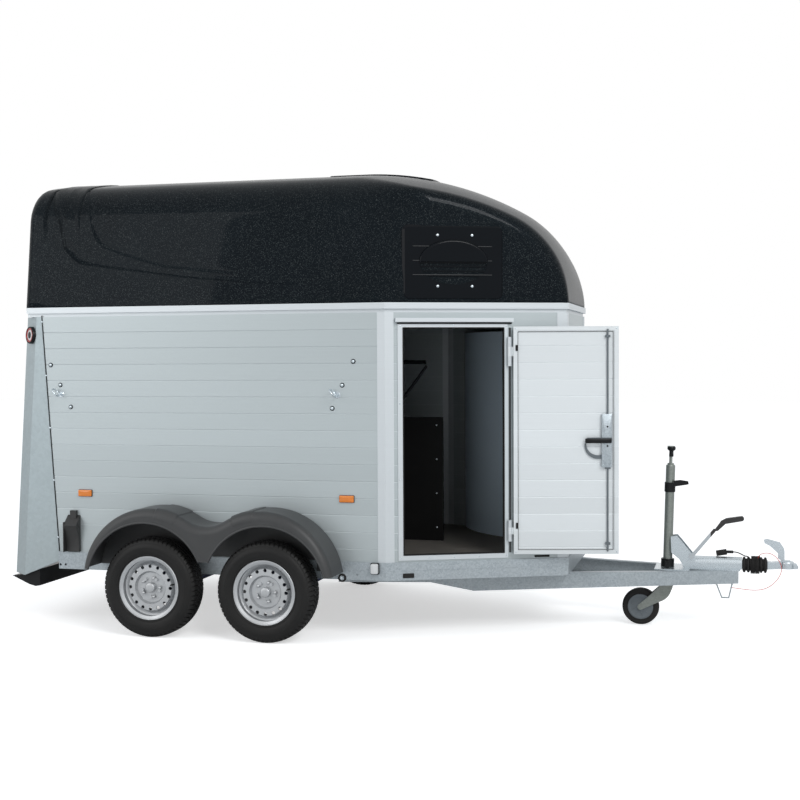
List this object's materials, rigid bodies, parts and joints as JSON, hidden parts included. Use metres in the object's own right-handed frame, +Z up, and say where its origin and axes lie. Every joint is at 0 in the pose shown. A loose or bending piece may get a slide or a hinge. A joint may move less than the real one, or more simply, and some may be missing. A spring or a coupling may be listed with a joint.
{
  "type": "horse trailer",
  "caption": "Tandem-axle horse trailer with plank walls, moulded roof, side groom door, rear ramp, drawbar coupling and jockey wheel.",
  "frame": {"origin": "centre of the coupling's ball socket", "axes": "+X forward along the drawbar, +Y to the trailer's left, +Z up from the ground"},
  "size_m": [4.652, 2.2, 2.74],
  "materials": {
    "galvanised": "hot-dip galvanised steel with spangle",
    "aluminium": "natural anodised aluminium",
    "roof": "anthracite gloss resin with fine metal flake",
    "black_plastic": "fine-grained black plastic",
    "guard_plastic": "dark grey moulded plastic",
    "tyre": "black tyre rubber",
    "wheel_silver": "silver painted steel",
    "black_steel": "black powder coat",
    "rubber": "soft black rubber",
    "floor": "coated plywood with rubber matting",
    "fabric": "coated woven fabric",
    "axle_blue": "dark painted steel",
    "lining": "light grey-blue moulded lining",
    "lamp": "coloured lamp lenses",
    "red_cable": "red coated wire rope"
  },
  "bodies": {
    "root": {"axle_front": "axle_blue", "axle_rear": "axle_blue", "bellows": "rubber", "body_frame": "aluminium", "breakaway_cable": "red_cable", "breast_bars": "black_steel", "cable_coil": "rubber", "cable_plug": "rubber", "coupling_handle": "galvanised", "coupling_head": "galvanised", "cross_members": "galvanised", "door_frame": "aluminium", "drawbar_left": "galvanised", "drawbar_right": "galvanised", "floor": "floor", "handbrake_bracket": "galvanised", "handbrake_lever": "galvanised", "hitch_rods": "galvanised", "jockey_clamp": "black_steel", "jockey_tube": "galvanised", "lamps": "lamp", "light_bar": "black_plastic", "mudguard_left": "guard_plastic", "mudguard_right": "guard_plastic", "nose_lining": "lining", "nose_panel": "aluminium", "overrun_housing": "galvanised", "panel_left": "aluminium", "panel_right": "aluminium", "partition": "floor", "partition_post": "black_steel", "rear_beam": "galvanised", "rear_curtain": "fabric", "rear_post_left": "galvanised", "rear_post_right": "galvanised", "roof": "roof", "roof_hatch": "black_plastic", "sill_left": "galvanised", "sill_nose": "galvanised", "sill_right": "galvanised", "trailer_cable": "rubber", "vent_left": "black_plastic", "vent_right": "black_plastic", "wall_left": "aluminium", "wall_right": "aluminium", "wheel_chock": "rubber"},
    "wheel_front_right": {"tyre_front_right": "tyre", "rim_front_right": "wheel_silver"},
    "wheel_front_left": {"tyre_front_left": "tyre", "rim_front_left": "wheel_silver"},
    "wheel_rear_right": {"tyre_rear_right": "tyre", "rim_rear_right": "wheel_silver"},
    "wheel_rear_left": {"tyre_rear_left": "tyre", "rim_rear_left": "wheel_silver"},
    "groom_door": {"door_leaf": "aluminium", "door_lock": "black_steel"},
    "ramp": {"ramp": "aluminium"},
    "jockey_leg": {"jockey_leg": "galvanised"},
    "jockey_fork": {"jockey_fork": "galvanised"},
    "jockey_wheel": {"jockey_wheel": "tyre"}
  },
  "joints": [
    {"name": "wheel_front_right_spin", "type": "hinge", "parent": "root", "child": "wheel_front_right", "pos_m": [-2.86, -0.989, -0.0835], "axis": [0, 1, 0], "continuous": true},
    {"name": "wheel_front_left_spin", "type": "hinge", "parent": "root", "child": "wheel_front_left", "pos_m": [-2.86, 0.989, -0.0835], "axis": [0, 1, 0], "continuous": true},
    {"name": "wheel_rear_right_spin", "type": "hinge", "parent": "root", "child": "wheel_rear_right", "pos_m": [-3.565, -0.989, -0.0835], "axis": [0, 1, 0], "continuous": true},
    {"name": "wheel_rear_left_spin", "type": "hinge", "parent": "root", "child": "wheel_rear_left", "pos_m": [-3.565, 0.989, -0.0835], "axis": [0, 1, 0], "continuous": true},
    {"name": "groom_door_swing", "type": "hinge", "parent": "root", "child": "groom_door", "pos_m": [-1.54197, -0.57872, 0.728], "axis": [0, 0, 1], "range_deg": [-169.25, 4]},
    {"name": "ramp_fold", "type": "hinge", "parent": "root", "child": "ramp", "pos_m": [-4.56624, 0, 0.03514], "axis": [0, -1, 0], "range_deg": [0, 108.5]},
    {"name": "jockey_slide", "type": "slide", "parent": "root", "child": "jockey_leg", "axis": [0.0297, 0, 0.9996], "range_m": [-0.12, 0.03]},
    {"name": "jockey_swivel", "type": "hinge", "parent": "jockey_leg", "child": "jockey_fork", "pos_m": [-0.69147, 0, -0.1521], "axis": [0.0297, 0, 0.9996], "continuous": true},
    {"name": "jockey_wheel_spin", "type": "hinge", "parent": "jockey_fork", "child": "jockey_wheel", "pos_m": [-0.8448, 0, -0.262], "axis": [0, 1, 0], "continuous": true}
  ]
}
